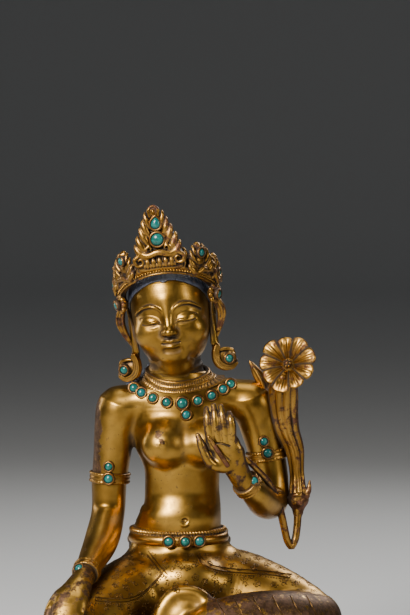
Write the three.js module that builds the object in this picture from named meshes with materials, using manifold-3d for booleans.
// Seated Tara, cast in gilt copper alloy, inlaid with turquoise, on a lotus base.
// Millimetres, +Z up, the figure faces -Y, and the origin is the middle of the base's underside.
import * as THREE from 'three';
import { mergeVertices } from 'three/addons/utils/BufferGeometryUtils.js';
import Module from 'manifold-3d';

const wasm = await Module();
wasm.setup();

// Driving dimensions.
const figureHeight = 241; // seat to crown tip
const baseHalfWidth = 90;
const baseHalfDepth = 64;
const footRimHeight = 6;
const lowerPetalHeight = 18;
const waistHeight = 5;
const upperPetalHeight = 19;
const topRimHeight = 8;
const waistInset = 17; // how far the waist lies inside the foot rim
const topRimInset = 5;
const petalBulge = 7;
const petalsPerRow = 14; // round the front and sides; the back is plain
const plainBackAngle = 100; // degrees
const footRestRadius = 17;
const footRestHeight = 10;
const necklaceStoneRadius = 2.3;
const crownStoneRadius = 3.5;
const smallStoneRadius = 2.2;
const beltStoneRadius = 2.5;
const seatClearance = 0.3; // round the base, where the figure passes it
const shinClearance = 4.5; // between the foot rim and the leg that hangs in front of it
const stoneGap = 0.3; // bedding gap between a stone and its pocket
const stoneDepth = 0.9; // how far a stone lies in the metal
const dropStretch = 0.45; // how far a drop's point runs out, as a share of its radius

// The pose is written for a figure of this height, with its origin in the middle of the seat.
const posedHeight = 241;
const posedShin = { x: -57, back: -62, sole: -46 };
const scale = figureHeight / posedHeight;

// The figure sits as far back as brings its hanging shin just clear of the base.
const baseHeight = footRimHeight + lowerPetalHeight + waistHeight + upperPetalHeight + topRimHeight;
const rimAtShin = baseHalfDepth * Math.sqrt(1 - ((posedShin.x * scale) / baseHalfWidth) ** 2);
const seatOffset = new THREE.Vector3(0, -posedShin.back * scale - rimAtShin - shinClearance, baseHeight);
const soleLevel = footRestHeight - baseHeight;
const legStretch = soleLevel / (posedShin.sole * scale); // draws the leg out to its rest
const footRestAt = new THREE.Vector2(-56 * scale, -84 * scale + seatOffset.y);

const point = (x, y, z) => new THREE.Vector3(x, y, z).multiplyScalar(scale);
const up = new THREE.Vector3(0, 0, 1);
const right = new THREE.Vector3(1, 0, 0);
const radians = THREE.MathUtils.degToRad;

// Rings of points, one after another, closed by a fan at each end.
function skin(rings) {
  const count = rings[0].length;
  const centre = (ring) => ring.reduce((sum, p) => sum.add(p), new THREE.Vector3()).divideScalar(count);
  const corners = [...rings.flat(), centre(rings[0]), centre(rings.at(-1))];
  const faces = [];
  const last = (rings.length - 1) * count;
  for (let j = 0; j < count; j++) {
    const next = (j + 1) % count;
    for (let i = 0; i < last; i += count) {
      faces.push(i + j, i + next, i + count + next, i + j, i + count + next, i + count + j);
    }
    faces.push(corners.length - 2, next, j, corners.length - 1, last + j, last + next);
  }
  const geometry = new THREE.BufferGeometry();
  geometry.setAttribute('position', new THREE.Float32BufferAttribute(corners.flatMap((p) => [p.x, p.y, p.z]), 3));
  return geometry.setIndex(faces);
}

// A closed mesh as a solid that can be joined and cut.
function solid(geometry) {
  const bare = geometry.clone();
  bare.deleteAttribute('normal');
  bare.deleteAttribute('uv');
  const merged = mergeVertices(bare, 1e-4);
  return new wasm.Manifold(
    new wasm.Mesh({
      numProp: 3,
      vertProperties: merged.attributes.position.array,
      triVerts: new Uint32Array(merged.index.array),
    }),
  );
}

const join = (solids) => solids.reduce((all, next) => all.add(next));

// A solid's mesh as a geometry. Corners that a cut left within a hair of a level go onto it.
function geometryOf(cut, levels = []) {
  const { vertProperties, triVerts } = cut.getMesh();
  const corners = Float32Array.from(vertProperties);
  for (let i = 2; i < corners.length; i += 3) {
    corners[i] = levels.find((level) => Math.abs(level - corners[i]) < 1e-3) ?? corners[i];
  }
  const geometry = new THREE.BufferGeometry();
  geometry.setAttribute('position', new THREE.BufferAttribute(corners, 3));
  return geometry.setIndex([...triVerts]);
}

// A limb runs through stations [x, y, z, half width, half depth]. The width is measured along across,
// and the rings of an upright one stay level.
function limb(stations, { sides = 8, across = right, upright = false, place = null } = {}) {
  const at = stations.map(([x, y, z]) => point(x, y, z));
  const curve = new THREE.CatmullRomCurve3(at, false, 'centripetal');
  const last = stations.length - 1;
  const ring = (index, swell, push) => {
    const [halfWidth, halfDepth = halfWidth] = stations[index].slice(3);
    const tangent = upright ? up : curve.getTangent(index / last);
    const width = across.clone().addScaledVector(tangent, -across.dot(tangent)).normalize();
    const depth = tangent.clone().cross(width);
    const middle = at[index].clone().addScaledVector(tangent, push * Math.min(halfWidth, halfDepth) * scale);
    return Array.from({ length: sides }, (_, j) => {
      const turn = (j / sides) * 2 * Math.PI;
      return middle
        .clone()
        .addScaledVector(width, Math.cos(turn) * halfWidth * swell * scale)
        .addScaledVector(depth, Math.sin(turn) * halfDepth * swell * scale);
    });
  };
  const rings = [ring(0, 0.6, -0.75)];
  for (let i = 0; i <= last; i++) rings.push(ring(i, 1, 0));
  rings.push(ring(last, 0.6, 0.75));
  const geometry = skin(rings);
  if (place) geometry.applyMatrix4(place);
  return solid(geometry);
}

// An ellipsoid with half sizes [x, y, z].
function lump([x, y, z], [a, b, c], { detail = 10, place = null, turn = [0, 0, 0] } = {}) {
  const geometry = new THREE.SphereGeometry(scale, detail, Math.ceil(detail * 0.6));
  geometry.scale(a, b, c);
  geometry.applyMatrix4(new THREE.Matrix4().makeRotationFromEuler(new THREE.Euler(...turn.map(radians))));
  geometry.translate(...point(x, y, z));
  if (place) geometry.applyMatrix4(place);
  return solid(geometry);
}

// A hoop of diamond section: middle, half width and half depth, and how its plane rises from front to back.
function hoop([x, y, z], [halfWidth, halfDepth], rise, [thick, tall], { place = null, sides = 14 } = {}) {
  const rings = Array.from({ length: sides }, (_, i) => {
    const turn = (i / sides) * 2 * Math.PI;
    const out = new THREE.Vector3(Math.cos(turn), Math.sin(turn), 0);
    return Array.from({ length: 4 }, (_, j) => {
      const corner = (j / 4) * 2 * Math.PI;
      const spread = Math.cos(corner) * thick;
      const px = x + out.x * (halfWidth + spread);
      const py = y + out.y * (halfDepth + spread);
      return point(px, py, z + (py - y) * rise - Math.sin(corner) * tall);
    });
  });
  const corners = rings.flat();
  const faces = [];
  for (let i = 0; i < sides; i++) {
    for (let j = 0; j < 4; j++) {
      const [a, b] = [i * 4 + j, i * 4 + ((j + 1) % 4)];
      const [c, d] = [((i + 1) % sides) * 4 + j, ((i + 1) % sides) * 4 + ((j + 1) % 4)];
      faces.push(a, b, d, a, d, c);
    }
  }
  const geometry = new THREE.BufferGeometry();
  geometry.setAttribute('position', new THREE.Float32BufferAttribute(corners.flatMap((p) => [p.x, p.y, p.z]), 3));
  geometry.setIndex(faces);
  if (place) geometry.applyMatrix4(place);
  return solid(geometry);
}

// The head leans and turns a little to its right and nods. Its parts are placed from its own middle.
const headLean = radians(-7);
const headNod = radians(3);
const headTurn = radians(-4);
const headPlace = new THREE.Matrix4()
  .makeTranslation(point(-6.3, -2, 186))
  .multiply(new THREE.Matrix4().makeRotationFromEuler(new THREE.Euler(headNod, headLean, headTurn, 'YXZ')));

// The belt and the collar are steps in the trunk, and so are the armlets and bracelets in the arms.
function trunk() {
  return [
    limb(
      [
        [-1, 6, -6, 36, 27],
        [-1, 6, 16, 35, 26],
        [-1, 5, 38, 31, 23],
        [-2, 4, 56, 26.5, 19.6],
        [-2, 4, 57, 27.2, 21.2],
        [-2, 3.5, 62, 26.4, 20.6],
        [-1, 3.5, 63, 24.4, 18],
        [0, 3, 71, 22, 16.3],
        [0, 2.5, 85, 20.6, 15.6],
        [0, 2, 98, 21.2, 16.2],
        [-1, 2.5, 112, 25.6, 17.4],
        [-2, 3.5, 128, 27.6, 15.6],
        [-2, 4, 137, 23.5, 14.6],
        [-2.2, 3.5, 144, 20.5, 15.2],
        [-2.5, 3, 149, 18, 15],
        [-2.8, 2.5, 150, 15.8, 13],
        [-4, 1, 163, 14.8, 13],
      ],
      { sides: 12, upright: true },
    ),
    limb(
      [
        [-33, 5, 131, 12, 12],
        [-20, 4, 135.5, 11, 12],
        [-2, 4, 137, 11, 13],
        [20, 4, 138, 11, 12],
        [38, 4, 134.5, 12, 12.4],
      ],
      { across: up },
    ),
    lump([-9.5, -11, 112.5], [12, 11, 11.5]),
    lump([12.5, -11, 113.5], [12, 11, 11.5]),
  ];
}

const rightArm = () =>
  limb([
    [-34.5, 5, 131, 12],
    [-36.8, 5.5, 119, 11.2],
    [-38.4, 6, 105, 10.3],
    [-40, 6, 94.4, 9.9],
    [-40.1, 6, 93.8, 11.6],
    [-40.4, 6, 88.4, 11.6],
    [-40.5, 6, 87.8, 9.7],
    [-41, 5, 71, 9.2],
    [-44, -12, 58.5, 9.4],
    [-48.5, -30, 50.5, 7.6],
    [-50.5, -38.8, 47.5, 6.5],
    [-50.6, -39.4, 47.2, 7.8],
    [-51.8, -44, 45.4, 7.4],
    [-51.9, -44.6, 45.1, 5.8],
    [-52.5, -48, 44, 5.6],
  ]);

const leftArm = () =>
  limb([
    [38, 4, 136, 11.5],
    [41.5, 4.5, 127, 11.4],
    [44.2, 5, 115, 10.5],
    [46, 5, 107, 10],
    [46.2, 5, 106.4, 11.6],
    [47.6, 5, 101, 11.5],
    [47.7, 5, 100.4, 9.7],
    [49.5, 4, 89, 9.3],
    [50.3, 0, 79, 9.2],
    [46, -16, 79.5, 8.9],
    [40, -29, 86.5, 7.4],
    [37, -33.4, 90.2, 6.6],
    [36.7, -33.8, 90.6, 7.7],
    [34, -37.6, 94, 7.5],
    [33.6, -38.1, 94.4, 6],
    [31.5, -40.5, 98, 5.8],
  ]);

// The giving hand lies over the knee with its palm out, and the other is raised with its palm out.
function hands() {
  const finger = (stations) => limb(stations, { sides: 5 });
  const giving = [0, 1, 2, 3].map((i) => {
    const x = -66 + i * 4.1;
    const drop = [4, 1, 0, 3][i];
    return finger([[x, -72, 24, 2.4], [x - 0.6, -75.5, 14, 2.2], [x - 1.4, -75.5, 3 + drop, 1.7]]);
  });
  const raised = [
    [15.4, 13.3, 135.5],
    [19.2, 17, 136.5],
    [23, 20.8, 136],
    [26.7, 25.4, 133.5],
  ].map(([x0, x1, z1]) =>
    finger([[x0, -47, 119, 2.2], [(x0 + x1) / 2, -49, 128, 2], [x1, -47.5, z1 - 1.5, 1.5]]),
  );
  return [
    limb([[-52, -46, 45, 5.8], [-54.5, -55, 41, 7.2, 4.8], [-58.5, -66, 33, 9.4, 4.4], [-60, -72, 24, 8.6, 3.2]]),
    ...giving,
    finger([[-62, -58, 38, 3], [-68.5, -64, 32, 2.9], [-71, -69, 23, 2]]),
    limb([[32.5, -39.5, 96, 6, 5.4], [28.5, -43, 104, 6.8, 4.6], [23.5, -46, 113.5, 8.4, 3.8], [21.6, -47, 121, 8, 3]]),
    ...raised,
    finger([[25, -43, 103, 3.4], [15.8, -48, 104.5, 2.8], [11.7, -50, 112.8, 2.3], [8.4, -49, 121.4, 1.8]]),
  ];
}

// One leg is folded in front, and the other hangs down to the foot rest.
function legs() {
  const hanging = (stations) => stations.map(([x, y, z, ...half]) => [x, y, z * legStretch, ...half]);
  const foldedFoot = limb(
    [[14, -56, 15, 9], [0, -58, 13, 8.4], [-14, -56, 11, 8, 6], [-28, -52, 9.5, 7, 4.5]],
    { across: up, sides: 7 },
  );
  const restingFoot = limb(
    hanging([[-54, -71, -40, 6.5, 7], [-55, -80, -39, 7.5, 7.4], [-57, -92, -41.5, 8, 5], [-58, -102, -43.5, 7.6, 3]]),
    { sides: 7 },
  );
  return [
    limb([
      [14, 4, 26, 27],
      [32, 0, 25, 25.5],
      [45, -5, 23.5, 22.5],
      [58, -11, 21, 19],
      [69, -17, 18, 16.2],
      [76, -22, 15.5, 14],
    ], { sides: 10, across: up }),
    limb([
      [76, -22, 15.5, 13.8],
      [56, -37, 15.5, 14.4],
      [36, -47, 15.5, 13.8],
      [18, -54, 15.5, 11.5],
      [8, -57, 14.5, 9.5],
    ], { sides: 9, across: up }),
    limb([
      [-16, 3, 26, 26.5],
      [-30, -14, 24.5, 23.5],
      [-44, -35, 20.5, 19],
      [-56, -56, 16, 14.6],
    ], { sides: 10, across: up }),
    limb(hanging([
      [-56, -56, 16, 14.4],
      [posedShin.x, -67, 2, 12],
      [-56.5, posedShin.back - 11, -12, 10.8],
      [-55.5, -75, -26, 8.4],
      [-54.5, -74, -38, 7],
    ])),
    foldedFoot,
    restingFoot,
  ];
}

// Cloth: the sash bunched behind the hips, the skirt's fold over the folded foot, and its hem on the base.
function cloth() {
  return [
    limb([
      [-24, 4, 57, 5, 4],
      [-27, 12, 58, 6, 5],
      [-16, 23, 56, 8, 6],
      [0, 27, 53, 9, 7],
      [14, 22, 56, 8, 6],
      [20, 13, 56, 5, 4],
    ], { across: up, sides: 6 }),
    limb([
      [18, -50, 28, 4.5],
      [9, -47, 34, 4.5],
      [-2, -47, 34, 4.5],
      [-10, -49, 27, 4.5],
      [-14, -51, 14, 4.5],
    ], { sides: 5 }),
    lump([-8, -40, 6], [32, 19, 9], { detail: 8 }),
  ];
}

function head() {
  const place = headPlace;
  const profile = [
    [0, -8, -27, 7, 8],
    [0, -6.5, -24.5, 12, 13],
    [0, -4, -18, 17, 18.5],
    [0, -1.5, -9, 20.3, 22.5],
    [0, 0, 1, 21.6, 24.6],
    [0, 1, 11, 20.8, 24.4],
    [0, 1.5, 19, 17.5, 21],
    [0, 1.5, 25, 11, 13],
  ];
  const features = [
    limb([[0, -23.6, 0, 1.4, 1.4], [0, -26, -8, 2.1, 2.2], [0, -26.8, -11.5, 2.9, 2.4]], { sides: 5, place }),
    lump([0, -21.6, -16.6], [5.2, 2.8, 1.6], { detail: 6, place }),
    lump([0, -21, -18.8], [4.2, 2.6, 1.7], { detail: 6, place }),
    lump([0, -17.6, -24.2], [5.5, 4.2, 3.8], { detail: 6, place }),
  ];
  for (const side of [-1, 1]) {
    features.push(
      lump([side * 8.6, -20.4, -3.4], [5.6, 3, 2.7], { detail: 6, place, turn: [0, 0, side * 18] }),
      // The ear with its long lobe, the earring hung from it and the ribbon behind it.
      limb([[side * 21.4, 2, 2, 2.2, 4], [side * 22.4, 0, -8, 2.2, 4], [side * 21.6, -1, -18, 1.8, 2.8],
        [side * 21.4, -1, -26, 1.8, 2.6]], { sides: 5, place }),
      lump([side * 26.4, -1.5, -31], [6.8, 6, 6.2], { detail: 8, place }),
      limb([[side * 27, -3, 7, 3.2, 3], [side * 28, 0, -1, 3, 2], [side * 24, 2, -13, 1.4, 1.6]],
        { sides: 5, place }),
    );
  }
  return [limb(profile, { sides: 12, upright: true, place }), ...features];
}

// A crown leaf is a flame-edged plate: lobes that step in from its foot to a pointed tip.
function crownLeaf(height, halfWidth, azimuth, lean, at, lobes = 4) {
  const outline = [];
  for (let i = 0; i <= lobes * 2; i++) {
    const rise = i / (lobes * 2);
    const taper = Math.sqrt(1 - rise ** 1.6);
    const notch = i % 2 ? 1.08 : 0.86;
    outline.push([halfWidth * taper * notch, height * rise]);
  }
  const edge = outline.slice(0, -1);
  const mirrored = edge.map(([x, y]) => [-x, y]).reverse();
  const shape = new THREE.Shape(
    [...edge, [0, height], ...mirrored].map(([x, y]) => new THREE.Vector2(x, y).multiplyScalar(scale)),
  );
  const thickness = 3.4 * scale;
  const geometry = new THREE.ExtrudeGeometry(shape, { depth: thickness, bevelEnabled: false });
  geometry.translate(0, 0, -thickness / 2);
  geometry.rotateX(Math.PI / 2 - radians(lean));
  geometry.rotateZ(radians(azimuth));
  geometry.translate(...point(...at));
  return solid(geometry.applyMatrix4(headPlace));
}

// The diadem: a band tilted up at the front, five leaves, and the hair knot behind them.
const bandHeight = (azimuth) => 8 + 12 * Math.cos(radians(azimuth));
const onBand = (azimuth) => [27 * Math.sin(radians(azimuth)), -26.6 * Math.cos(radians(azimuth)), bandHeight(azimuth)];

function crown() {
  const band = hoop([0, 0, 12], [24, 24.6], -0.44, [3.8, 6], { place: headPlace });
  return [
    band,
    crownLeaf(40, 12.6, 0, 0, onBand(0), 4),
    ...[-49, 49].map((azimuth) => crownLeaf(20, 8.4, azimuth, -4, onBand(azimuth), 3)),
    ...[-85, 85].map((azimuth) => crownLeaf(17.5, 7.5, azimuth, -4, onBand(azimuth), 3)),
    ...[-66, 66].map((azimuth) => lump([...onBand(azimuth).slice(0, 2), 6], [4.6, 4.6, 4.6], { detail: 6, place: headPlace })),
    limb([[0, 3, 22, 13], [0, 4, 31, 9.5], [0, 4, 40, 8.2], [0, 4, 48, 4.5]], { sides: 7, place: headPlace }),
  ];
}

// The lotus stem is held in the raised hand, loops below the elbow and climbs to the flower at the shoulder.
function lotus() {
  const stem = limb([
    [24.6, -50.5, 104.7, 1.3],
    [19.5, -51.5, 112.5, 1.3],
    [13.8, -50.5, 122, 1.3],
    [17, -43, 121, 1.3],
    [24, -41, 115, 1.3],
    [30.9, -41, 110, 1.4],
    [40.5, -34, 101.5, 1.5],
    [46.8, -25, 94, 1.6],
    [51, -17, 86, 2],
    [54.2, -12, 74, 2.2],
    [56.7, -9, 63, 2.1],
    [59.6, -7, 54, 2.1],
    [63.3, -5, 63.3, 2.1],
    [64, -3, 75, 2.3],
  ], { sides: 4, across: new THREE.Vector3(0.3, 1, 0.2).normalize() });
  const sheaf = limb([
    [64, -2, 73, 4, 4],
    [64, -1, 81, 5.2, 5],
    [63.4, 0, 90, 4.6, 4],
    [62, 0, 107, 6.1, 4.6],
    [57.5, -1, 118, 7.8, 5],
    [56, -2, 126, 8.6, 5.4],
    [55.3, -3, 138, 9.4, 5.6],
    [56.8, -7, 148, 7.4, 5],
  ]);
  const bud = limb([[49, 0, 136, 2.4, 2], [45, 1, 144, 3.4, 2.4], [40.5, 1, 150.5, 2.8, 2], [37.4, 1, 156, 0.8, 0.8]],
    { sides: 5 });
  return [stem, sheaf, bud, bloom()];
}

// The open flower is a shallow scalloped dish, facing forward and a little up.
function bloom() {
  const petals = 9;
  const perPetal = 3;
  const profile = [[3.5, -6], [10, -3], [16.4, 2.6], [15.4, 3.6], [3, -2.4]];
  const rings = profile.map(([radius, lift]) =>
    Array.from({ length: petals * perPetal }, (_, i) => {
      const turn = (i / (petals * perPetal)) * 2 * Math.PI;
      const scallop = 1 - 0.14 * (radius / 16) * (i % perPetal === 0 ? 1 : 0);
      return point(Math.cos(turn) * radius * scallop, Math.sin(turn) * radius * scallop, lift);
    }),
  );
  const geometry = skin(rings);
  geometry.rotateX(radians(90 - 10));
  geometry.rotateZ(radians(8));
  geometry.translate(...point(57, -13, 155.6));
  return solid(geometry);
}

// The oval lotus base: two rows of petals, tips down and tips up, on either side of a waist.
function lotusBase() {
  const perPetal = 4;
  const plainSteps = 8;
  const petalled = 360 - plainBackAngle;
  const angles = [];
  for (let i = 0; i < petalsPerRow * perPetal; i++) {
    const phase = (i % perPetal) / perPetal;
    angles.push({ turn: 90 + plainBackAngle / 2 + (i * petalled) / (petalsPerRow * perPetal), phase, plain: false });
  }
  for (let i = 0; i < plainSteps; i++) {
    angles.push({ turn: 90 - plainBackAngle / 2 + (i * plainBackAngle) / plainSteps, phase: 0, plain: true });
  }
  // How far a petal stands out, from its root (0) to its tip (1): a swelling back that narrows to the tip.
  const petal = (share, phase) => {
    const offCentre = Math.abs(phase - 0.5) * 2;
    const halfWidth = share < 0.55 ? 1 : Math.sqrt(Math.max(0, 1 - ((share - 0.55) / 0.5) ** 2));
    return Math.max(0, 1 - (offCentre / Math.max(halfWidth, 0.01)) ** 2) ** 0.5;
  };
  const waistLevel = footRimHeight + lowerPetalHeight;
  const upperLevel = waistLevel + waistHeight;
  const shares = [0, 0.5, 1];
  const rows = [[0, 0, null], [footRimHeight, 0, null]];
  for (const share of shares.toReversed()) {
    rows.push([waistLevel - lowerPetalHeight * share * 0.98, waistInset - (waistInset - 8) * share, share]);
  }
  for (const share of shares) {
    const inset = waistInset - (waistInset - topRimInset - 2) * share;
    rows.push([upperLevel + upperPetalHeight * share * 0.98, inset, share]);
  }
  rows.push([baseHeight - topRimHeight, topRimInset, null], [baseHeight, topRimInset, null]);
  const rings = rows.map(([z, inset, share]) =>
    angles.map(({ turn, phase, plain }) => {
      const out = share === null || plain ? 0 : petalBulge * Math.sin(Math.PI * Math.min(1, share * 0.75 + 0.12));
      const reach = out * (out ? petal(share, phase) : 0) - inset;
      const cos = Math.cos(radians(turn));
      const sin = Math.sin(radians(turn));
      return new THREE.Vector3(cos * (baseHalfWidth + reach), sin * (baseHalfDepth + reach), z);
    }),
  );
  return geometryOf(join([solid(skin(rings)), footRest()]), [0, footRestHeight, baseHeight]);
}

// The small lotus under the hanging foot, tied to the base by a short stalk.
function footRest() {
  const petals = 9;
  const profile = [[0.86, 0], [1, 0.12], [0.72, 0.4], [0.98, 0.86], [0.9, 1]];
  const rings = profile.map(([spread, rise]) =>
    Array.from({ length: petals * 2 }, (_, i) => {
      const turn = (i / (petals * 2)) * 2 * Math.PI;
      const radius = footRestRadius * spread * (i % 2 ? 0.93 : 1);
      const x = footRestAt.x + Math.cos(turn) * radius * 0.92;
      return new THREE.Vector3(x, footRestAt.y + Math.sin(turn) * radius * 1.25, rise * footRestHeight);
    }),
  );
  const reach = footRestAt.y + baseHalfDepth * 0.2;
  const stalk = new THREE.BoxGeometry(footRestRadius * 0.8, -reach, footRestHeight * 0.5);
  stalk.translate(footRestAt.x, footRestAt.y - reach / 2, footRestHeight * 0.25);
  return solid(skin(rings)).add(solid(stalk));
}

// Everything below the seat comes off where the base carries it, and everything below the sole.
function seatCut() {
  const outline = new THREE.Shape();
  outline.absellipse(0, 0, baseHalfWidth + seatClearance, baseHalfDepth + seatClearance, 0, 2 * Math.PI);
  const block = new THREE.ExtrudeGeometry(outline, { depth: baseHeight, bevelEnabled: false, curveSegments: 24 });
  block.translate(-seatOffset.x, -seatOffset.y, -baseHeight);
  const floor = new THREE.BoxGeometry(footRestRadius * 6, footRestRadius * 6, baseHeight);
  floor.translate(footRestAt.x - seatOffset.x, footRestAt.y - seatOffset.y, soleLevel - baseHeight / 2);
  return solid(block).add(solid(floor));
}

// Stones: where each sits in the front view (x and z), its radius, its height and which way it looks.
function stonePlaces() {
  const places = [];
  const stone = (name, at, options = {}) => places.push({ name, at, radius: smallStoneRadius, ...options });
  const necklaceSpan = 26.7;
  for (let i = -4; i <= 4; i++) {
    const x = 0.2 + (necklaceSpan * Math.sin(i * 0.3)) / Math.sin(1.2);
    const z = 133.8 + 0.0125 * (x + 1.5) ** 2;
    stone(`turquoise_necklace_${i + 5}`, point(x, -20, z), { radius: necklaceStoneRadius * (i ? 1 : 1.25) });
  }
  stone('turquoise_pendant', point(2.3, -20, 127.6), { radius: necklaceStoneRadius });
  [-7.1, 1.8, 9.6].forEach((x, i) => stone(`turquoise_belt_${i + 1}`, point(x, -20, 58.4), { radius: beltStoneRadius }));
  stone('turquoise_right_armlet_lower', point(-40.5, -10, 91.4), { radius: beltStoneRadius });
  stone('turquoise_right_armlet_upper', point(-40.2, -10, 98));
  stone('turquoise_left_armlet_lower', point(47.2, -10, 105.8), { radius: beltStoneRadius });
  stone('turquoise_left_armlet_upper', point(44.9, -10, 112.2));
  stone('turquoise_right_bracelet', point(-53, -42, 47), { from: new THREE.Vector3(-0.3, -0.9, 0.3) });
  stone('turquoise_left_bracelet', point(37.5, -38, 94.5), { from: new THREE.Vector3(0.5, -0.9, 0.2) });
  const onHead = (name, at, azimuth, options = {}) => {
    const from = new THREE.Vector3(Math.sin(radians(azimuth)), -Math.cos(radians(azimuth)), 0);
    stone(name, point(...at).applyMatrix4(headPlace), { ...options, from: from.transformDirection(headPlace) });
  };
  onHead('turquoise_crown_centre', [0, -26, 40.6], 0, { radius: crownStoneRadius });
  onHead('turquoise_crown_drop', [0, -26, 48.4], 0, { pointed: true });
  for (const [side, word] of [[-1, 'right'], [1, 'left']]) {
    onHead(`turquoise_crown_${word}_front`, [side * 21.5, -19, 30], side * 49);
    onHead(`turquoise_crown_${word}_side`, [side * 29, -2, 16], side * 85);
    onHead(`turquoise_crown_${word}_rosette`, [side * 26, -11.6, 5.6], side * 66);
    onHead(`turquoise_${word}_earring`, [side * 29, -6, -31], side * 20);
  }
  return places;
}

// Finds the metal under a stone, looking in along the way it faces, and how to set it there.
function seatOn(body, { name, at, from = new THREE.Vector3(0, -1, 0) }) {
  const outward = from.clone().normalize();
  const start = at.clone().addScaledVector(outward, 100);
  const [hit] = new THREE.Raycaster(start, outward.clone().negate()).intersectObject(body);
  if (!hit) throw new Error(`no metal under ${name}`);
  return { at: hit.point, facing: hit.face.normal.clone().addScaledVector(outward, 1.5).normalize() };
}

function turned(geometry, { at, facing }) {
  const turn = new THREE.Quaternion().setFromUnitVectors(up, facing);
  return geometry.applyQuaternion(turn).translate(at.x, at.y, at.z);
}

// A cabochon: flat underneath and domed above. A drop comes to a point on one side.
function cabochon(radius, pointed) {
  const under = -stoneDepth;
  const dome = radius * 0.62;
  const profile = [[0, under], [radius, under], [radius * 0.78, dome * 0.8], [0, dome]];
  const sides = radius > smallStoneRadius * 1.4 ? 12 : 8;
  const geometry = new THREE.LatheGeometry(profile.map(([x, y]) => new THREE.Vector2(x, y)), sides);
  geometry.rotateX(Math.PI / 2);
  if (pointed) stretch(geometry, radius);
  return geometry;
}

// Draws out the upper half of a round piece to a point.
function stretch(geometry, radius) {
  const corners = geometry.attributes.position;
  for (let i = 0; i < corners.count; i++) {
    const y = corners.getY(i);
    if (y > 0) corners.setY(i, y * (1 + dropStretch * (1 - Math.abs(corners.getX(i)) / radius)));
  }
  return geometry;
}

// The pocket that a stone lies in, as wide as the stone and its bedding gap.
function pocket(radius, pointed) {
  const wide = radius + stoneGap;
  const sides = radius > smallStoneRadius * 1.4 ? 12 : 8;
  const high = 6;
  const geometry = new THREE.CylinderGeometry(wide, wide, high, sides);
  geometry.rotateX(Math.PI / 2).translate(0, 0, high / 2 - stoneDepth - stoneGap);
  return pointed ? stretch(geometry, wide) : geometry;
}

const gilt = new THREE.MeshStandardMaterial({ color: 0xc08a35, roughness: 0.34, metalness: 1 });
const turquoise = new THREE.MeshStandardMaterial({ color: 0x2a9c98, roughness: 0.35, metalness: 0 });

function mesh(name, geometry, material) {
  geometry.computeVertexNormals();
  const made = new THREE.Mesh(geometry, material);
  made.name = name;
  return made;
}

const tara = new THREE.Group();
tara.name = 'tara';
const figureGroup = new THREE.Group();
figureGroup.position.copy(seatOffset);

const flesh = join([...trunk(), rightArm(), leftArm(), ...hands(), ...legs(), ...cloth(), ...head()]);
const dressed = join([flesh, ...crown(), ...lotus()]).subtract(seatCut());
const bare = new THREE.Mesh(geometryOf(dressed), gilt);
let figure = dressed;
for (const place of stonePlaces()) {
  const seat = seatOn(bare, place);
  figure = figure.subtract(solid(turned(pocket(place.radius, place.pointed), seat)));
  figureGroup.add(mesh(place.name, turned(cabochon(place.radius, place.pointed), seat), turquoise));
}
figureGroup.add(mesh('figure', geometryOf(figure, [0, soleLevel]), gilt));
tara.add(figureGroup, mesh('lotus_base', lotusBase(), gilt));

export default tara;
